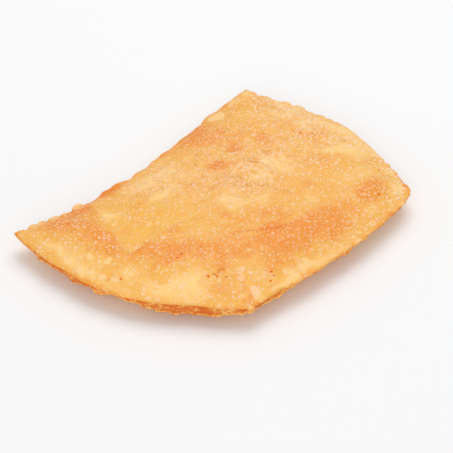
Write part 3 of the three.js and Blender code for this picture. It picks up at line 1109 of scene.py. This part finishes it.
def plain_dough(n, toasted):
    """The colour of smooth dough, from pale to deep brown, with ochre painted shade in its hollows and
    creases.
    """
    base = n.mix(n.mask("yellow"), GOLDEN, YELLOW)
    base = n.mix(n.spread(paleness(n), 0, 1), base, PALE_CREAM)
    base = n.mix(n.spread(toasted, -0.1, 0.95), base, BROWNED)
    base = n.mix(n.spread(toasted, 0.8, 1.6, 0, 0.8), base, DEEP_BROWN)
    # painted shade: ochre in the hollows of crumpled skin and along the creases
    hollow = n.larger(n.times(groove_shade(n), 0.6), n.mask("groove"))
    return n.mix(hollow, base, GROOVE_SHADE_OCHRE)


def blistered(n, base, light):
    """The colour with the modelled blisters on it. Cream ones and crowded ones cover it more."""
    tone = n.mask("tone")
    skin = n.mix(n.spread(tone, 0.1, 0.6), CREAM_SKIN, light)
    crowd = n.spread(n.mask("crowded"), 0, 0.6)
    strength = n.larger(n.spread(tone, 0, 0.6, 0.9, 0.4), crowd)
    return n.mix(n.times(n.spread(n.mask("blister"), 0.35, 0.9), strength), base, skin)


def wall_colour(n):
    """Orange hollows and cream flakes of the pressed wall. The cream also paints a highlight under the
    edge, and bounce light where the seam is shut.
    """
    flaky = n.plus(n.mask("flake_and_painted_light"), n.spread(n.noise(0.0016, 3, 0.6), 0.3, 0.7, -0.6, 0.6))
    return n.mix(n.spread(flaky, -0.4, 0.9), WALL_ORANGE, FLAKE_CREAM_AND_PAINTED_LIGHT)


def crust_colour(n):
    """Golden dough, browned and pale in patches, with lighter blisters, a darker wall, and painted
    highlight and shade on crumpled skin.
    """
    toasted = n.plus(n.mask("toast"), mottling(n))
    light = n.mix(n.spread(toasted, 0, 0.9), BLISTER_SKIN, TOASTED_SKIN)
    base = plain_dough(n, toasted)
    # The crumpled skin's ridges are lighter: partly paler skin, partly a painted highlight along their
    # tops.
    base = n.mix(n.times(crumple_net(n), 0.6), base, light)
    dots = n.times(tiny_blisters(n), n.spread(n.mask("crumple"), 0, 0.8, 0.7, 0.95))
    base = n.mix(dots, base, light)
    base = blistered(n, base, light)
    base = n.mix(n.mask("wall"), base, wall_colour(n))
    burnt = n.mix(n.mask("tone"), BURNT_RED, BURNT_OCHRE)
    return n.mix(n.spread(n.mask("pit"), 0, 0.6), base, burnt)


def crust_bump(n):
    """Fine grain of fried dough, and bubbles too small to model."""
    raised = n.larger(tiny_blisters(n), crumple_net(n))
    height = n.plus(n.times(n.noise(GRAIN, 3, 0.6), 0.5), n.times(raised, 0.5))
    node = n.add("Bump")
    n.fill(node, Strength=0.7, Distance=GRAIN_DEPTH, Height=height)
    return node.outputs["Normal"]


def fried_dough():
    """A slightly greasy, slightly see-through crust."""
    material = bpy.data.materials.new("fried dough")
    material.use_nodes = True
    n = Nodes(material)
    n.fill(material.node_tree.nodes["Principled BSDF"], **{
        "Base Color": crust_colour(n),
        "Normal": crust_bump(n),
        "Roughness": n.spread(n.noise(0.006), 0.3, 0.7, 0.4, 0.6),
        "IOR": 1.45,
        "Specular IOR Level": 0.25,
        "Coat Weight": 0.06,
        "Coat Roughness": 0.28,
        "Subsurface Weight": 0.12,
        "Subsurface Radius": (1, 0.5, 0.22),
        "Subsurface Scale": 0.0012,
    })
    return material


def floor_material():
    material = bpy.data.materials.new("pale floor")
    material.use_nodes = True
    shader = material.node_tree.nodes["Principled BSDF"]
    shader.inputs["Base Color"].default_value = (0.92, 0.92, 0.92, 1)
    shader.inputs["Roughness"].default_value = 0.7
    return material


# ---- Stage ----

VIEW_AZIMUTH = -45     # degrees: from the side of the blunt corner
VIEW_ELEVATION = 39
VIEW_DISTANCE = 0.9    # metres
VIEW_AIM = (-0.0137, -0.0140, 0.0125)
VIEW_LENS = 128.9      # millimetres, on a 36 mm sensor

# Soft square lights: name, place and side in metres, power in watts.
LIGHTS = [
    ("overhead softbox", (0.5, 0.34, 1.3), 1.1, 9.3),
    ("front fill", (-1.1, -0.9, 0.8), 1, 7.1),
]
SURROUND = 0.57        # strength of the even white light from all round


def make_floor():
    """A wide floor just under the pastel."""
    bpy.ops.mesh.primitive_plane_add(size=4, location=(0, 0, -0.0001))
    floor = bpy.context.object
    floor.name = "floor"
    floor.data.materials.append(floor_material())


def placed(name, data, place, back):
    """A light or camera at a place, turned so that back is the way behind it."""
    thing = bpy.data.objects.new(name, data)
    thing.location = place
    thing.rotation_euler = (-back).to_track_quat("-Z", "Y").to_euler()
    bpy.context.collection.objects.link(thing)
    return thing


def make_lights():
    for name, place, size, power in LIGHTS:
        data = bpy.data.lights.new(name, "AREA")
        data.size = size
        data.energy = power
        placed(name, data, place, Vector(place))
    world = bpy.data.worlds.new("studio")
    world.use_nodes = True
    background = world.node_tree.nodes["Background"]
    background.inputs["Color"].default_value = (1, 1, 1, 1)
    background.inputs["Strength"].default_value = SURROUND
    bpy.context.scene.world = world


def make_camera():
    azimuth, elevation = math.radians(VIEW_AZIMUTH), math.radians(VIEW_ELEVATION)
    level = math.cos(elevation)
    back = Vector((math.sin(azimuth) * level, -math.cos(azimuth) * level, math.sin(elevation)))
    data = bpy.data.cameras.new("camera")
    data.lens = VIEW_LENS
    data.sensor_width = 36
    data.clip_start = 0.05
    place = Vector(VIEW_AIM) + back * VIEW_DISTANCE
    bpy.context.scene.camera = placed("camera", data, place, back)


crust = crust_piece()
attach(crust, "root")
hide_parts("pastel")

make_floor()
make_lights()
make_camera()
bpy.context.scene.view_settings.view_transform = "Standard"
